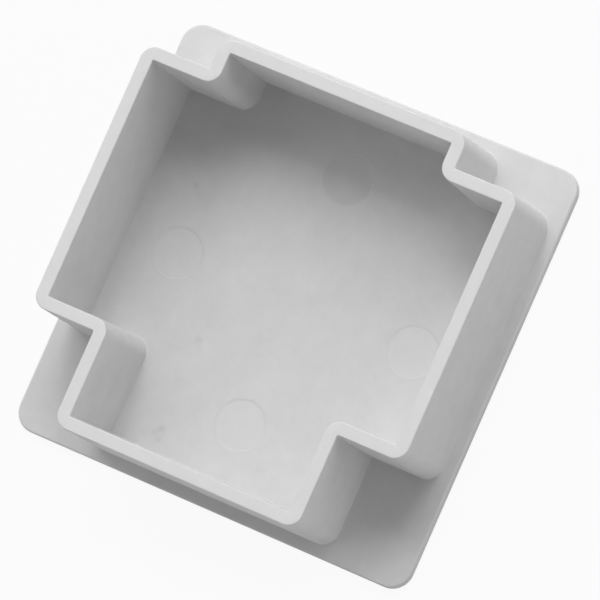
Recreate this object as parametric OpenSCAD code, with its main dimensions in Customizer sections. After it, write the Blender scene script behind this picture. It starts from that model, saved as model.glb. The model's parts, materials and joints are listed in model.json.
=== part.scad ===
// Duct end cap, moulded in one piece: a square plate that covers the cut end of a wiring duct,
// and a hollow spigot, open at its rim, that plugs into the duct.
// The plate lies on z = 0, centred on the origin, and the spigot stands up along +Z.
// The shallow corner notches are on the +Y side and the deep ones on the -Y side.

/* [Duct] */
// Outside width of the square duct, which the plate covers flush
duct_w = 60; // [45:1:100]
// Thickness of the duct's wall
duct_wall = 1.5; // [1:0.1:2.5]
// Gap between the duct's wall and the root of the spigot, on each side
fit_gap = 0.2; // [0.1:0.05:0.5]

/* [Plate] */
// Thickness of the plate
plate_t = 1.6; // [1.2:0.1:4]
// Radius of the plate's corners
plate_corner_r = 3; // [1:0.5:8]
// Bevel along the plate's upper and lower edges
plate_bevel = 0.3; // [0.1:0.05:0.5]

/* [Spigot] */
// Height of the spigot above the plate
spigot_h = 16.5; // [8:0.5:40]
// Thickness of the spigot's wall at the rim
wall_t = 1.8; // [1.2:0.1:3]
// Radius of the wall's rounded vertical edges at the rim
wall_corner_r = 2; // [0.8:0.1:3]
// Draft of the wall's faces, in degrees
draft = 1.2; // [0.3:0.1:2]
// Bevel along both edges of the rim
rim_bevel = 0.3; // [0.1:0.05:0.5]

/* [Corner notches] */
// Width of every corner notch, along X
notch_w = 9.6; // [6:0.2:14]
// Depth of the two shallow notches, along Y
shallow_notch = 4.7; // [3:0.1:10]
// Depth of the two deep notches, along Y
deep_notch = 13.4; // [6:0.2:16]

/* [Ejector pin marks] */
// Diameter of the round mark that each ejector pin leaves on the floor
pin_mark_d = 7; // [3:0.5:9]
// Depth of a pin mark
pin_mark_depth = 0.05; // [0.05:0.05:0.3]
// Distance from the spigot's rim outline in to the middle of a pin mark
pin_mark_inset = 10; // [8:0.5:14]

/* [Hidden] */
$fn = 64;

// Height of the drafted part of the wall, below the rim's bevel
drafted_h = spigot_h - rim_bevel;
// How far a face leans outward from the bevel down to the root
lean = drafted_h * tan(draft);
// Half the spigot's outline at the root, where it fits the duct, and at the rim
root_half = duct_w / 2 - duct_wall - fit_gap;
rim_half = root_half - lean;
// How far a cut reaches past the solid that it opens
cut_margin = 1;

// Outer outlines of the spigot's two crossing arms at the rim, each as its low and high corner
arm_x = [[-rim_half, -rim_half + deep_notch], [rim_half, rim_half - shallow_notch]];
arm_y = [[-rim_half + notch_w, -rim_half], [rim_half - notch_w, rim_half]];

// An outline moved outward on every side
function grown(outline, by) = [outline[0] - [by, by], outline[1] + [by, by]];

// A slab with two sloping ends: outline is its top, and the two ends across X
// move outward by spread from the top down to the base.
module slab_across_x(outline, h, spread, trim) {
    low = outline[0];
    high = outline[1];
    translate([0, high.y - trim, 0])
        rotate([90, 0, 0])
            linear_extrude(high.y - low.y - 2 * trim)
                polygon([[low.x - spread, 0], [high.x + spread, 0], [high.x, h], [low.x, h]]);
}

// The same slab with its sloping ends across Y
module slab_across_y(outline, h, spread, trim) {
    swapped = [[outline[0].y, outline[0].x], [outline[1].y, outline[1].x]];
    mirror([1, -1, 0])
        slab_across_x(swapped, h, spread, trim);
}

// A block with sloping sides and rounded vertical edges of radius r at the top
module rounded_block(outline, h, spread, r) {
    slab_across_x(outline, h, spread, r);
    slab_across_y(outline, h, spread, r);
    for (x = [outline[0].x + r, outline[1].x - r], y = [outline[0].y + r, outline[1].y - r])
        translate([x, y, 0])
            cylinder(h = h, r1 = r + spread, r2 = r);
}

// A block with sloping sides and sharp vertical edges
module sharp_block(outline, h, spread) {
    past = -abs(spread) - cut_margin;
    intersection() {
        slab_across_x(outline, h, spread, past);
        slab_across_y(outline, h, spread, past);
    }
}

// A piece of wall: drafted sides, then the bevel up to the rim
module wall_block(outline) {
    rounded_block(outline, drafted_h, lean, wall_corner_r);
    translate([0, 0, drafted_h])
        rounded_block(grown(outline, -rim_bevel), rim_bevel, rim_bevel, wall_corner_r - rim_bevel);
}

// The wall that closes off one corner notch from the cavity, with its inner edge rounded
module notch_wall(side, end, depth) {
    inner = [rim_half - notch_w - wall_t, rim_half - depth - wall_t];
    outer = inner + [duct_w, duct_w];
    to_corner(side, end)
        wall_block([inner, outer]);
}

// Mirrors a shape made for the +X +Y corner to another corner
module to_corner(side, end) {
    mirror([side < 0 ? 1 : 0, 0, 0])
        mirror([0, end < 0 ? 1 : 0, 0])
            children();
}

// The hollow inside the spigot
module cavity() {
    outline = grown([[-rim_half, -rim_half], [rim_half, rim_half]], -wall_t);
    difference() {
        union() {
            sharp_block(outline, drafted_h, -lean);
            translate([0, 0, drafted_h])
                sharp_block(grown(outline, rim_bevel), rim_bevel, -rim_bevel);
        }
        for (side = [-1, 1]) {
            notch_wall(side, 1, shallow_notch);
            notch_wall(side, -1, deep_notch);
        }
    }
}

// The flat plate, with its edges bevelled above and below
module plate() {
    half = duct_w / 2;
    outline = [[-half, -half], [half, half]];
    face = grown(outline, -plate_bevel);
    face_r = plate_corner_r - plate_bevel;
    translate([0, 0, plate_bevel])
        rounded_block(outline, plate_t - 2 * plate_bevel, 0, plate_corner_r);
    translate([0, 0, plate_t - plate_bevel])
        rounded_block(face, plate_bevel, plate_bevel, face_r);
    rounded_block(outline, plate_bevel, -plate_bevel, plate_corner_r);
}

// The four round marks on the floor of the cavity
module pin_marks() {
    for (turn = [0:90:270])
        rotate([0, 0, turn])
            translate([rim_half - pin_mark_inset, 0, plate_t - pin_mark_depth])
                cylinder(h = pin_mark_depth + cut_margin, d = pin_mark_d);
}

module end_cap() {
    color("gainsboro")
        difference() {
            union() {
                plate();
                translate([0, 0, plate_t])
                    difference() {
                        union() {
                            wall_block(arm_x);
                            wall_block(arm_y);
                        }
                        cavity();
                    }
            }
            pin_marks();
        }
}

end_cap();
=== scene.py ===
# %% [markdown]
# A duct end cap in light grey moulded plastic.
# The cap closes the cut end of a square wiring duct. It was moulded in one shot: a flat plate with
# rounded corners, and a thin wall on it, the spigot, that follows a notched square and plugs into the duct.
# The exact solid is loaded first as a fixed frame. Everything made below keeps to its size and place.

# %% Load the frame
import json
import math

import bmesh
import bpy
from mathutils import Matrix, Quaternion, Vector


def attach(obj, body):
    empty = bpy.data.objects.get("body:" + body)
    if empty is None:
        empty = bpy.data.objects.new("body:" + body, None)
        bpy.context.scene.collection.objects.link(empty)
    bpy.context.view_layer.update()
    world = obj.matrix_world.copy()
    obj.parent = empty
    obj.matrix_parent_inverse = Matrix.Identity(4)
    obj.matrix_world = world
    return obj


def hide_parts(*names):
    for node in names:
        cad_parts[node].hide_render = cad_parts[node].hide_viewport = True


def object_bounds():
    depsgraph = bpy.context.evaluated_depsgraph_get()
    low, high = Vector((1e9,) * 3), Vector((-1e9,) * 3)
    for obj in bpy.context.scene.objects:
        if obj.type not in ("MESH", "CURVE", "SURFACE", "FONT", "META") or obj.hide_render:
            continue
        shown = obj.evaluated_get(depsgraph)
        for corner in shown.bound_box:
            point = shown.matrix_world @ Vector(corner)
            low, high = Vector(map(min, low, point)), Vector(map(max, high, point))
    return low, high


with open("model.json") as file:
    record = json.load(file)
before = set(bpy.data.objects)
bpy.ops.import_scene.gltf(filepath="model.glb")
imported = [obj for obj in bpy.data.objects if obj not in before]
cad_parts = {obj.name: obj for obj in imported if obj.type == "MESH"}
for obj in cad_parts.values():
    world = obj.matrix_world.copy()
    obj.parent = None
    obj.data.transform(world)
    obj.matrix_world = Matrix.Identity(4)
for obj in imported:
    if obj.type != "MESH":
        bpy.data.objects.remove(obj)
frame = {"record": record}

cad_low, cad_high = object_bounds()
print("CAD box", [round(v, 4) for v in cad_low], [round(v, 4) for v in cad_high])

# %% [markdown]
# The sizes of the moulding.
# A mesh that stands in for a solid has to agree with it, so the overall sizes are read from the frame:
# the plate's side from the box, the floor's height and the rim's height from the places where the duct
# meets the cap. The finer sizes, such as the wall, are written once here, in millimetres.

# %% Sizes of the moulding
MM = 0.001

mounts = {mount["name"]: mount for mount in frame["record"]["mounts"]}
plate_half = cad_high.x
floor_z = mounts["duct_seat"]["pos_m"][2]
rim_z = mounts["spigot"]["pos_m"][2]

PLATE_CORNER = 3.0 * MM     # radius of the plate's corners, seen from above
PLATE_EDGE = 0.3 * MM       # rounding of the plate's upper and lower edges
SEAT_WIDTH = 1.7 * MM       # strip of plate outside the root of the spigot
WALL = 1.8 * MM             # thickness of the spigot's wall at the rim
WALL_CORNER = 2.0 * MM      # outer radius where the wall turns a corner
NOTCH_EDGE = 0.2 * MM       # radius of the inward corner inside each notch
DRAFT = math.radians(1.2)   # lean of the wall's faces
RIM_ROUND = 0.15 * MM       # rounding of the rim's two edges
ROOT_FILLET = 0.1 * MM      # hollow where the wall meets the plate
NOTCH_WIDTH = 9.6 * MM      # along X, the same for all four notches
SHALLOW_NOTCH = 4.7 * MM    # along Y, for the two notches on the +Y side
DEEP_NOTCH = 13.4 * MM      # along Y, for the two notches on the -Y side

lean = (rim_z - floor_z) * math.tan(DRAFT)
rim_half = plate_half - SEAT_WIDTH - lean
print(f"plate {2 * plate_half / MM:.1f} mm wide, rim {2 * rim_half / MM:.2f} mm wide")
print(f"floor {floor_z / MM:.1f} mm and rim {rim_z / MM:.1f} mm above the plate's outer face")

# %% [markdown]
# Rounded corners.
# Nothing that comes out of a mould has a truly sharp edge, and it is the thin highlight along each edge
# that tells the eye so. A bevel modifier could round the edges later, but here one small function rounds
# a corner between two straight runs, and it serves twice: for the outline seen from above and for the
# wall's section seen from the side.

# %% Round a corner between two straight runs
CORNER_STEPS = 10           # straight pieces in a corner of an outline
EDGE_STEPS = 5              # straight pieces in a corner of a section


def flat_points(*pairs):
    """Points of a plane, one for each pair of numbers."""
    return [Vector(pair) for pair in pairs]


def arc(centre, radius, angles):
    """Points around a centre, one for each angle."""
    return [centre + radius * Vector((math.cos(angle), math.sin(angle))) for angle in angles]


def rounded_corner(before, corner, after, radius, steps):
    """Points along the arc that touches both straight runs of a corner."""
    to_before = (before - corner).normalized()
    to_after = (after - corner).normalized()
    half_angle = to_before.angle(to_after) / 2
    centre = corner + (to_before + to_after).normalized() * radius / math.sin(half_angle)
    first = corner + to_before * radius / math.tan(half_angle) - centre
    last = corner + to_after * radius / math.tan(half_angle) - centre
    start = math.atan2(first.y, first.x)
    turn = math.atan2(last.y, last.x) - start
    turn = (turn + math.pi) % (2 * math.pi) - math.pi
    return arc(centre, radius, [start + turn * step / steps for step in range(steps + 1)])


def rounded_run(corners, radii, steps):
    """An open line whose two end points are left out and whose inner corners are rounded."""
    points = []
    for before, corner, after, radius in zip(corners, corners[1:], corners[2:], radii):
        points += rounded_corner(before, corner, after, radius, steps)
    return points


def rounded_loop(corners, radii, steps):
    """A closed outline with every corner rounded."""
    return rounded_run([corners[-1], *corners, corners[0]], radii, steps)


print(f"a corner has {CORNER_STEPS + 1} points in an outline and {EDGE_STEPS + 1} in a section")

# %% [markdown]
# The outlines.
# The wall is one outline, a square with a notch in each corner, repeated at many heights. It could be
# cut from a square block by booleans, but then its two faces would need their own cuts. Moving one outline
# outward makes its outer corners rounder and its notch corners tighter, as it does on the real wall, whose
# inner and outer outlines run parallel.

# %% Outline of the wall and the plate
TIGHTEST = 0.08 * MM        # smallest radius that a corner is drawn with


def wall_outline(out):
    """The notched square at the rim, moved outward by out."""
    side = rim_half + out
    arm = side - NOTCH_WIDTH
    top = side - SHALLOW_NOTCH
    low = DEEP_NOTCH - side
    corners = flat_points(
        (side, low), (side, top), (arm, top), (arm, side), (-arm, side), (-arm, top),
        (-side, top), (-side, low), (-arm, low), (-arm, -side), (arm, -side), (arm, low))
    turn_out = max(WALL_CORNER + out, TIGHTEST)
    turn_in = max(NOTCH_EDGE - out, TIGHTEST)
    return rounded_loop(corners, [turn_out, turn_out, turn_in] * 4, CORNER_STEPS)


def plate_outline(out):
    """The plate's rounded square, moved outward by out."""
    half = plate_half + out
    corners = flat_points((half, -half), (half, half), (-half, half), (-half, -half))
    return rounded_loop(corners, [PLATE_CORNER + out] * 4, CORNER_STEPS)


print(f"outlines: wall {len(wall_outline(0))} points, plate {len(plate_outline(0))} points")

# %% [markdown]
# The sections.
# A section says how far out each ring of an outline lies, and how high. The wall's two faces lean towards
# each other, so that the mould could let go of them, and the section is where that lean, the rounded rim
# and the hollow at the wall's root are drawn.

# %% Section of the wall and the plate's edge
BEYOND = 5 * MM             # how far a section's end points lie from its last corners

wall_section = rounded_run(
    flat_points((lean + BEYOND, floor_z), (lean, floor_z), (0, rim_z),
                (-WALL, rim_z), (-WALL - lean, floor_z), (-WALL - lean - BEYOND, floor_z)),
    [ROOT_FILLET, RIM_ROUND, RIM_ROUND, ROOT_FILLET], EDGE_STEPS)
plate_section = rounded_run(
    flat_points((-BEYOND, floor_z), (0, floor_z), (0, 0), (-BEYOND, 0)),
    [PLATE_EDGE, PLATE_EDGE], EDGE_STEPS)
print(f"sections: wall {len(wall_section)} points, plate edge {len(plate_section)} points")

# %% [markdown]
# The marks of the ejector pins.
# When the mould opened, four round pins pushed the cap off its core, and each left a shallow disc on the
# floor. A texture could draw the rings, but they catch the light as small steps, so they are real ones.

# %% Pin marks
PIN_RADIUS = 3.5 * MM
PIN_DEPTH = 0.05 * MM
PIN_SLOPE = 0.3 * MM        # width of the worn step around each disc
PIN_LIP = 0.8 * MM          # radius that eases the step into the floor
PIN_INSET = 10.0 * MM       # from the rim's outer side to the middle of a mark
PIN_POINTS = 64

pin_distance = rim_half - PIN_INSET
pin_centres = flat_points((pin_distance, 0), (0, pin_distance), (-pin_distance, 0), (0, -pin_distance))
pin_section = rounded_run(
    flat_points((BEYOND, floor_z), (PIN_SLOPE / 2, floor_z),
                (-PIN_SLOPE / 2, floor_z - PIN_DEPTH), (-BEYOND, floor_z - PIN_DEPTH)),
    [PIN_LIP, PIN_LIP], EDGE_STEPS)


def pin_outline(centre, out):
    """The circle of one pin mark, moved outward by out."""
    return arc(centre, PIN_RADIUS + out, [2 * math.pi * point / PIN_POINTS for point in range(PIN_POINTS)])


print(f"pin marks {2 * PIN_RADIUS / MM:.0f} mm wide, {pin_distance / MM:.2f} mm from the middle")

# %% [markdown]
# The moulding itself.
# Rings of points are joined by faces, like the hoops of a barrel. Three stretches are made this way: the
# plate's edge, the wall from its outer root over the rim to its inner root, and each pin mark. What is
# left is flat: the strip of plate around the wall, the floor with its four round openings, and the outer
# face. Blender's triangle fill closes the strip and the floor, openings and all, and the discs and the
# outer face are one face each.

# %% Sweep the plate's edge, the wall and the pin marks
shell = bmesh.new()


def ring(outline, height):
    """New points along an outline, all at one height."""
    return [shell.verts.new((point.x, point.y, height)) for point in outline]


def sweep(outline, section):
    """Rings along a section, joined by faces. Returns the first ring and the last."""
    rings = [ring(outline(point.x), point.y) for point in section]
    for upper, lower in zip(rings, rings[1:]):
        for place in range(len(upper)):
            following = (place + 1) % len(upper)
            shell.faces.new((upper[place], upper[following], lower[following], lower[place]))
    return rings[0], rings[-1]


def pin_mark(centre):
    """The step around one pin mark. Returns the ring on the floor and the ring around the disc."""
    return sweep(lambda out: pin_outline(centre, out), pin_section)


plate_top, plate_bottom = sweep(plate_outline, plate_section)
outer_root, inner_root = sweep(wall_outline, wall_section)
pin_rings = [pin_mark(centre) for centre in pin_centres]
print(f"swept {len(shell.faces)} faces")

# %% Close the flat faces


def fill_flat(*rings):
    """Triangles across a level face, between the rings that bound it."""
    edges = []
    for points in rings:
        edges += [shell.edges.get((points[place - 1], points[place])) for place in range(len(points))]
    bmesh.ops.triangle_fill(shell, edges=edges, use_beauty=True, use_dissolve=False, normal=(0, 0, 1))


fill_flat(plate_top, outer_root)
fill_flat(inner_root, *[lip for lip, _ in pin_rings])
for _, disc in pin_rings:
    shell.faces.new(disc)
shell.faces.new(plate_bottom)

bmesh.ops.recalc_face_normals(shell, faces=shell.faces)
print(f"closed: {len(shell.verts)} points, {len(shell.faces)} faces")

# %% [markdown]
# One object, evenly shaded.
# Smooth shading turns the narrow bands along the edges into round ones, but it would bend the light on
# the large flat faces as well. Weighting the shading by the size of the faces leaves the flat ones flat
# right up to their edges. The object rides on the cap's only body and takes the place of its solid.

# %% Make the moulding an object
LARGEST_FACES_WIN = 100     # strongest weight that the modifier takes
SAME_SIZE = 0.01            # faces whose sizes differ by less count as equal


def new_object(name, data):
    """A new object in the scene, for a mesh, a lamp or a camera."""
    made = bpy.data.objects.new(name, data)
    bpy.context.scene.collection.objects.link(made)
    return made


for face in shell.faces:
    face.smooth = True
cap_mesh = bpy.data.meshes.new("end_cap_moulding")
shell.to_mesh(cap_mesh)
shell.free()

cap = new_object("end_cap_moulding", cap_mesh)
even_shading = cap.modifiers.new("even_shading", "WEIGHTED_NORMAL")
even_shading.mode = "FACE_AREA"
even_shading.weight = LARGEST_FACES_WIN
even_shading.thresh = SAME_SIZE
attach(cap, "root")
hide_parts("end_cap")
print(f"{cap.name}: {[round(side / MM, 2) for side in cap.dimensions]} mm")

# %% [markdown]
# The skin of the plastic.
# The cap is a light grey plastic with a dull satin skin, just as it came out of the tool. Such a skin is
# never quite even: the flow of the melt leaves soft patches a few millimetres wide, with finer mottling in
# them, and the tool's spark texture breaks up the gloss. Both are made from noise in the cap's own
# coordinates, so they need no unwrapping and stay in place when the cap is turned. The patches tint the
# colour and the gloss, and the grain goes into a bump.

# %% Start the plastic
GLOSS_LEVEL = 0.25
MOTTLE = 0.65               # strength of each finer layer of a noise, as a share of the one before

plastic = bpy.data.materials.new("satin_plastic")
plastic.use_nodes = True
cap_mesh.materials.append(plastic)
skin = plastic.node_tree
shader = skin.nodes["Principled BSDF"]
shader.inputs["Specular IOR Level"].default_value = GLOSS_LEVEL
position = skin.nodes.new("ShaderNodeTexCoord").outputs["Object"]


def feed(socket, value):
    """Sets a socket to a plain number or colour, or links it to another node's output."""
    if isinstance(value, bpy.types.NodeSocket):
        skin.links.new(value, socket)
    else:
        socket.default_value = value


def skin_node(kind, values):
    """A new node of the skin, with its named sockets fed."""
    made = skin.nodes.new(kind)
    for name, value in values.items():
        feed(made.inputs[name], value)
    return made


def noise(scale, layers):
    """A noise in the cap's own coordinates, from 0 to 1, with finer layers in it."""
    values = {"Vector": position, "Scale": scale, "Detail": layers, "Roughness": MOTTLE}
    return skin_node("ShaderNodeTexNoise", values).outputs["Fac"]


def tint(mask, base, colour):
    """The base colour, turned towards another colour where the mask is high."""
    mix = skin.nodes.new("ShaderNodeMix")
    mix.data_type = "RGBA"
    sockets = {socket.identifier: socket for socket in mix.inputs}
    feed(sockets["Factor_Float"], mask)
    feed(sockets["A_Color"], base)
    feed(sockets["B_Color"], colour)
    return next(socket for socket in mix.outputs if socket.identifier == "Result_Color")


print(f"{plastic.name} on {cap.name}")

# %% Patches and grain
PLASTIC_LIGHT = (0.69, 0.69, 0.69, 1.0)
PLASTIC_DARK = (0.59, 0.59, 0.59, 1.0)
PATCHES_PER_METRE = 280.0
PATCH_LAYERS = 3.0
SATIN_LEAST = 0.66          # roughness in the darkest patch
SATIN_MOST = 0.74           # roughness in the lightest patch
GRAINS_PER_METRE = 3500.0
GRAIN_LAYERS = 1.0
GRAIN_HEIGHT = 0.012 * MM

patches = noise(PATCHES_PER_METRE, PATCH_LAYERS)
clean_colour = tint(patches, PLASTIC_DARK, PLASTIC_LIGHT)
satin = skin_node("ShaderNodeMapRange", {"Value": patches, "To Min": SATIN_LEAST, "To Max": SATIN_MOST})
feed(shader.inputs["Roughness"], satin.outputs["Result"])

grain = noise(GRAINS_PER_METRE, GRAIN_LAYERS)
grain_bump = skin_node("ShaderNodeBump", {"Distance": GRAIN_HEIGHT, "Height": grain})
feed(shader.inputs["Normal"], grain_bump.outputs["Normal"])
print(f"patches about {1 / PATCHES_PER_METRE / MM:.1f} mm wide, grain {1 / GRAINS_PER_METRE / MM:.2f} mm")

# %% [markdown]
# Finding a place on the floor.
# Dirt, painted shade and painted light lie where they lie, so each needs a mask, a value that is high there
# and 0 elsewhere. A picture could be painted for it, but here each mark is found by its distance from a
# point of the floor.
# The four pin marks need only one ring and one disc between them: folding the floor over its two axes and
# its diagonal lays all four on top of each other.

# %% Masks from distances


def calc(operation, *values):
    """The output of a math node."""
    made = skin.nodes.new("ShaderNodeMath")
    made.operation = operation
    for socket, value in zip(made.inputs, values):
        feed(socket, value)
    return made.outputs[0]


def distance(x, y, centre):
    """How far a place on the floor lies from a centre."""
    across = calc("SUBTRACT", x, centre.x)
    along = calc("SUBTRACT", y, centre.y)
    return calc("SQRT", calc("ADD", calc("MULTIPLY", across, across), calc("MULTIPLY", along, along)))


def fade(value, start, end, amount):
    """A mask that rises smoothly from 0, where the value is at its start, to an amount at its end."""
    values = {"Value": value, "From Min": start, "From Max": end, "To Max": amount}
    made = skin_node("ShaderNodeMapRange", values)
    made.interpolation_type = "SMOOTHSTEP"
    return made.outputs["Result"]


x, y, z = skin_node("ShaderNodeSeparateXYZ", {"Vector": position}).outputs
folded_x = calc("MAXIMUM", calc("ABSOLUTE", x), calc("ABSOLUTE", y))
folded_y = calc("MINIMUM", calc("ABSOLUTE", x), calc("ABSOLUTE", y))
from_pin = distance(folded_x, folded_y, pin_centres[0])
on_floor = calc("GREATER_THAN", z, floor_z / 2)
print(f"one folded distance for {len(pin_centres)} pin marks")

# %% [markdown]
# Dirt and painted shade.
# The cap isn't quite clean: the floor has two specks and a small smudge of dirt. Along the edge of each pin
# mark a dark ring is painted, as painted shade of the step, thick in places and missing in others. The
# plastic's own patches break the rings up. A speck isn't a neat circle, so a fine noise first pulls its
# outline to and fro.

# %% Grime and painted shade on the floor
# The dark colour of the dirt specks and smudge, of the rings' painted shade and of the darker disc half.
GRIME_AND_SHADE = (0.42, 0.42, 0.41, 1.0)
STEP_SHADE = 0.1            # how far a ring is turned towards the dark colour, as painted shade of the step
RING_WIDTH = 0.55 * MM
RING_GAPS = (0.4, 0.6)      # patch values where the ring's painted shade is missing and where it is full
SPOTS = [  # middle and radius in millimetres, and how dark
    ((-10.33, -9.71), 0.85, 0.32),  # speck
    ((-19.52, 9.38), 0.55, 0.36),   # speck
    ((-10.0, -22.6), 0.95, 0.36),   # smudge, in three blots
    ((-10.6, -23.4), 0.75, 0.26),
    ((-9.8, -24.0), 0.75, 0.28),
]
RAGS_PER_METRE = 1400.0
RAG_LAYERS = 1.0
RAG = 0.5 * MM              # how far the spots' outlines are pulled to and fro

# A dark ring along each pin mark's step is painted shade of the step, broken up by the patches.
from_edge = calc("ABSOLUTE", calc("SUBTRACT", from_pin, PIN_RADIUS))
step_shade_ring = fade(from_edge, RING_WIDTH, 0.0, STEP_SHADE)
dirt_and_step_shade = calc("MULTIPLY", step_shade_ring, fade(patches, *RING_GAPS, 1.0))

pull = calc("MULTIPLY_ADD", noise(RAGS_PER_METRE, RAG_LAYERS), 2 * RAG, -RAG)
ragged_x = calc("ADD", x, pull)
ragged_y = calc("SUBTRACT", y, pull)
for middle, radius, amount in SPOTS:
    spot = fade(distance(ragged_x, ragged_y, Vector(middle) * MM), radius * MM, 0.0, amount)
    dirt_and_step_shade = calc("MAXIMUM", dirt_and_step_shade, spot)
dirt_and_step_shade = calc("MULTIPLY", dirt_and_step_shade, on_floor)
print(f"grime: a ring on each of {len(pin_centres)} pin marks and {len(SPOTS)} spots")

# %% [markdown]
# Paler discs, a darker disc and painted light on the rim.
# Three of the discs look a little paler than the floor, while the fourth, the one on the +Y side, is made
# darker on its -Y half, fading out towards its +Y edge. The rim is painted paler all round, as painted
# light on the rim. The pale tints are laid on the clean plastic first, and the dirt and painted shade go
# over both.

# %% Pin discs and the painted light on the rim
# The pale colour of three discs and of the painted light on the rim.
PALE_TINT_AND_RIM_LIGHT = (0.76, 0.76, 0.76, 1.0)
DISC_PALENESS = 0.12               # how far a pale disc is turned towards the pale colour
DISC_DARKENING = 0.22                 # how far the +Y disc is turned towards the dark colour, on its darker half
DARKER_DISC_Y = 10.0 * MM     # the pin mark beyond this line is the darker one
PAINTED_RIM_LIGHT = 0.3                   # how far the rim is turned towards the pale colour, as painted light
PAINTED_RIM_LIGHT_DEPTH = 0.3 * MM        # how far the rim's painted light reaches down the wall

on_disc = fade(from_pin, PIN_RADIUS + RING_WIDTH / 2, PIN_RADIUS - RING_WIDTH / 2, 1.0)
on_disc = calc("MULTIPLY", on_disc, on_floor)
darker_half = fade(y, pin_distance + PIN_RADIUS, pin_distance, DISC_DARKENING)
darker_half = calc("MULTIPLY", calc("GREATER_THAN", y, DARKER_DISC_Y), darker_half)
paleness = calc("MULTIPLY", calc("LESS_THAN", y, DARKER_DISC_Y), DISC_PALENESS)
# The rim, and the wall just below it, is painted paler all round: painted light on the rim.
rim_light_mask = fade(z, rim_z - PAINTED_RIM_LIGHT_DEPTH, rim_z, PAINTED_RIM_LIGHT)

pale_and_rim_light = calc("MAXIMUM", calc("MULTIPLY", on_disc, paleness), rim_light_mask)
dark = calc("MAXIMUM", dirt_and_step_shade, calc("MULTIPLY", on_disc, darker_half))
# Pale tints and the rim's painted light go on the clean colour first; dirt, painted shade and the darker
# disc half go over them.
feed(shader.inputs["Base Color"], tint(dark, tint(pale_and_rim_light, clean_colour, PALE_TINT_AND_RIM_LIGHT), GRIME_AND_SHADE))
print(f"skin: {len(skin.nodes)} nodes")

# %% [markdown]
# The table.
# The photo shows the cap on plain white, with no line between a table and the background. More light on
# the table could whiten it, but would bleach the cap too. Instead the table is pale paper to the light that
# bounces around, and mostly a flat white to whatever looks at it: the camera, a reflection, a view through
# glass. The small share of real paper that is left keeps the cap's soft shadow. The table lies a hair below
# the cap, because two faces in one plane would flicker where they meet.

# %% Table
TABLE_HALF = 2.0
TABLE_Z = -0.02 * MM

table_corners = [(TABLE_HALF * across, TABLE_HALF * along, TABLE_Z)
                 for across, along in ((-1, -1), (1, -1), (1, 1), (-1, 1))]
table_mesh = bpy.data.meshes.new("table")
table_mesh.from_pydata(table_corners, [], [(0, 1, 2, 3)])
table = new_object("table", table_mesh)
print(f"table {2 * TABLE_HALF:.0f} m wide, {-TABLE_Z / MM:.2f} mm below the cap")

# %% White to whatever looks at it
PAPER = (0.6, 0.6, 0.6, 1.0)
BACKGROUND_SHARE = 0.93


def seen_directly(tree):
    """A value: 1 for rays of the camera, a reflection or a view through glass, and 0 for the rest."""
    ray = tree.nodes.new("ShaderNodeLightPath")
    total = ray.outputs["Is Camera Ray"]
    for kind in ("Is Glossy Ray", "Is Transmission Ray"):
        either = tree.nodes.new("ShaderNodeMath")
        either.operation = "MAXIMUM"
        tree.links.new(total, either.inputs[0])
        tree.links.new(ray.outputs[kind], either.inputs[1])
        total = either.outputs[0]
    return total


table_white = bpy.data.materials.new("table_white")
table_white.use_nodes = True
table_mesh.materials.append(table_white)
tree = table_white.node_tree
tree.nodes.clear()
paper = tree.nodes.new("ShaderNodeBsdfDiffuse")
paper.inputs["Color"].default_value = PAPER
flat_white = tree.nodes.new("ShaderNodeEmission")
share = tree.nodes.new("ShaderNodeMath")
share.operation = "MULTIPLY"
share.inputs[1].default_value = BACKGROUND_SHARE
blend = tree.nodes.new("ShaderNodeMixShader")
surface = tree.nodes.new("ShaderNodeOutputMaterial")
tree.links.new(seen_directly(tree), share.inputs[0])
tree.links.new(share.outputs[0], blend.inputs["Fac"])
tree.links.new(paper.outputs[0], blend.inputs[1])
tree.links.new(flat_white.outputs[0], blend.inputs[2])
tree.links.new(blend.outputs[0], surface.inputs["Surface"])
print(f"table {BACKGROUND_SHARE:.0%} flat white to the camera")

# %% [markdown]
# The light.
# The soft gradients in the cavity hint at how the cap was lit: by two broad lamps high behind the shallow
# notches, one of them more to the left, and by weaker light, lower, from the sides and the front, as it
# comes from the pale walls of a photo tent. Each of those walls is a lamp too, a large and weak one. The
# lamps are set so that a level face gets about as much light as makes its colour come out as written.
# What light is left comes from all round, from the world, which is white to whatever looks at it too.

# %% World
WHITE = (1.0, 1.0, 1.0, 1.0)
WORLD_LIGHT = 0.085

world = bpy.data.worlds.new("tent")
bpy.context.scene.world = world
world.use_nodes = True
tree = world.node_tree
sky = tree.nodes["Background"]
sky.inputs["Color"].default_value = WHITE
level_of_sky = tree.nodes.new("ShaderNodeMapRange")
level_of_sky.inputs["To Min"].default_value = WORLD_LIGHT
level_of_sky.inputs["To Max"].default_value = 1.0
tree.links.new(seen_directly(tree), level_of_sky.inputs["Value"])
tree.links.new(level_of_sky.outputs["Result"], sky.inputs["Strength"])
print(f"world: {WORLD_LIGHT} of white as light")

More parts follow.
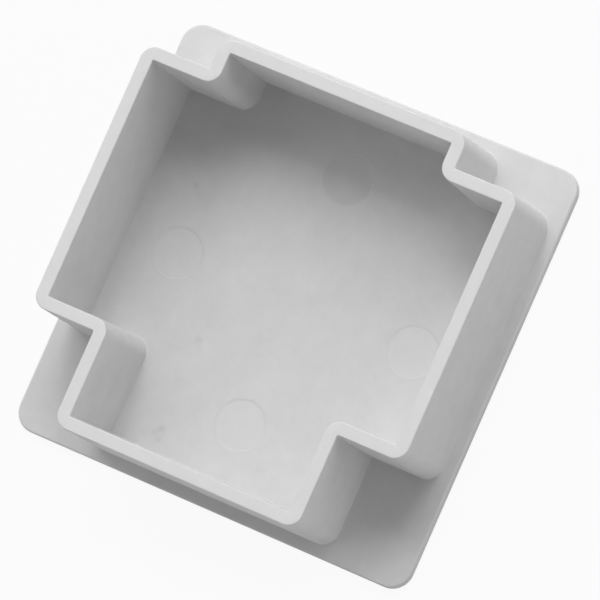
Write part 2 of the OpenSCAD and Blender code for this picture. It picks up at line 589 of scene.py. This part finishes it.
# %% Lamps
LAMP_DISTANCE = 1.0
LAMPS = [  # name, degrees from +Y towards +X, height, width and length in metres, watts
    ("key", 0, 1.0, 0.8, 1.0, 10.2),
    ("second", -35, 1.2, 1.2, 1.0, 9.6),
    ("left_panel", -95, 0.6, 1.4, 1.2, 6.0),
    ("right_panel", 60, 0.4, 1.2, 0.7, 3.5),
    ("front_panel", 150, 0.35, 1.0, 0.7, 2.5),
]

for name, degrees, height, width, length, watts in LAMPS:
    lamp = bpy.data.lights.new(name, "AREA")
    lamp.shape = "RECTANGLE"
    lamp.size = width
    lamp.size_y = length
    lamp.energy = watts
    holder = new_object(name, lamp)
    azimuth = math.radians(degrees)
    holder.location = (LAMP_DISTANCE * math.sin(azimuth), LAMP_DISTANCE * math.cos(azimuth), height)
    holder.rotation_euler = (-holder.location).to_track_quat("-Z", "Y").to_euler()
    holder.visible_camera = False
    print(f"{name}: {watts} W")

# %% [markdown]
# The camera.
# The photo was taken from high on the +X side with a long lens, so lines that are parallel on the cap stay
# nearly parallel in the picture. The direction, the distance and the roll were found by fitting the cap's
# straight edges to those in the photo. The roll is what sets the cap askew in the frame.

# %% Camera
LENS = 338.2                # in millimetres
SENSOR = 36.0               # in millimetres
VIEW_AZIMUTH = math.radians(81.616)
VIEW_ELEVATION = math.radians(70.959)
VIEW_ROLL = math.radians(-58.308)
VIEW_DISTANCE = 743.8 * MM
VIEW_TARGET = Vector((3.14, 0.158, 9.05)) * MM

level = math.cos(VIEW_ELEVATION)
back = Vector((math.sin(VIEW_AZIMUTH) * level, -math.cos(VIEW_AZIMUTH) * level, math.sin(VIEW_ELEVATION)))
camera = new_object("camera", bpy.data.cameras.new("camera"))
camera.data.lens = LENS
camera.data.sensor_width = SENSOR
camera.location = VIEW_TARGET + back * VIEW_DISTANCE
upright = (-back).to_track_quat("-Z", "Y")
camera.rotation_euler = (upright @ Quaternion((0, 0, 1), VIEW_ROLL)).to_euler()
bpy.context.scene.camera = camera
print("camera at", [round(v, 3) for v in camera.location])

# %% [markdown]
# Colours.
# The Standard view shows each colour as it is written, with no film look over it.

# %% Colours
bpy.context.scene.view_settings.view_transform = "Standard"
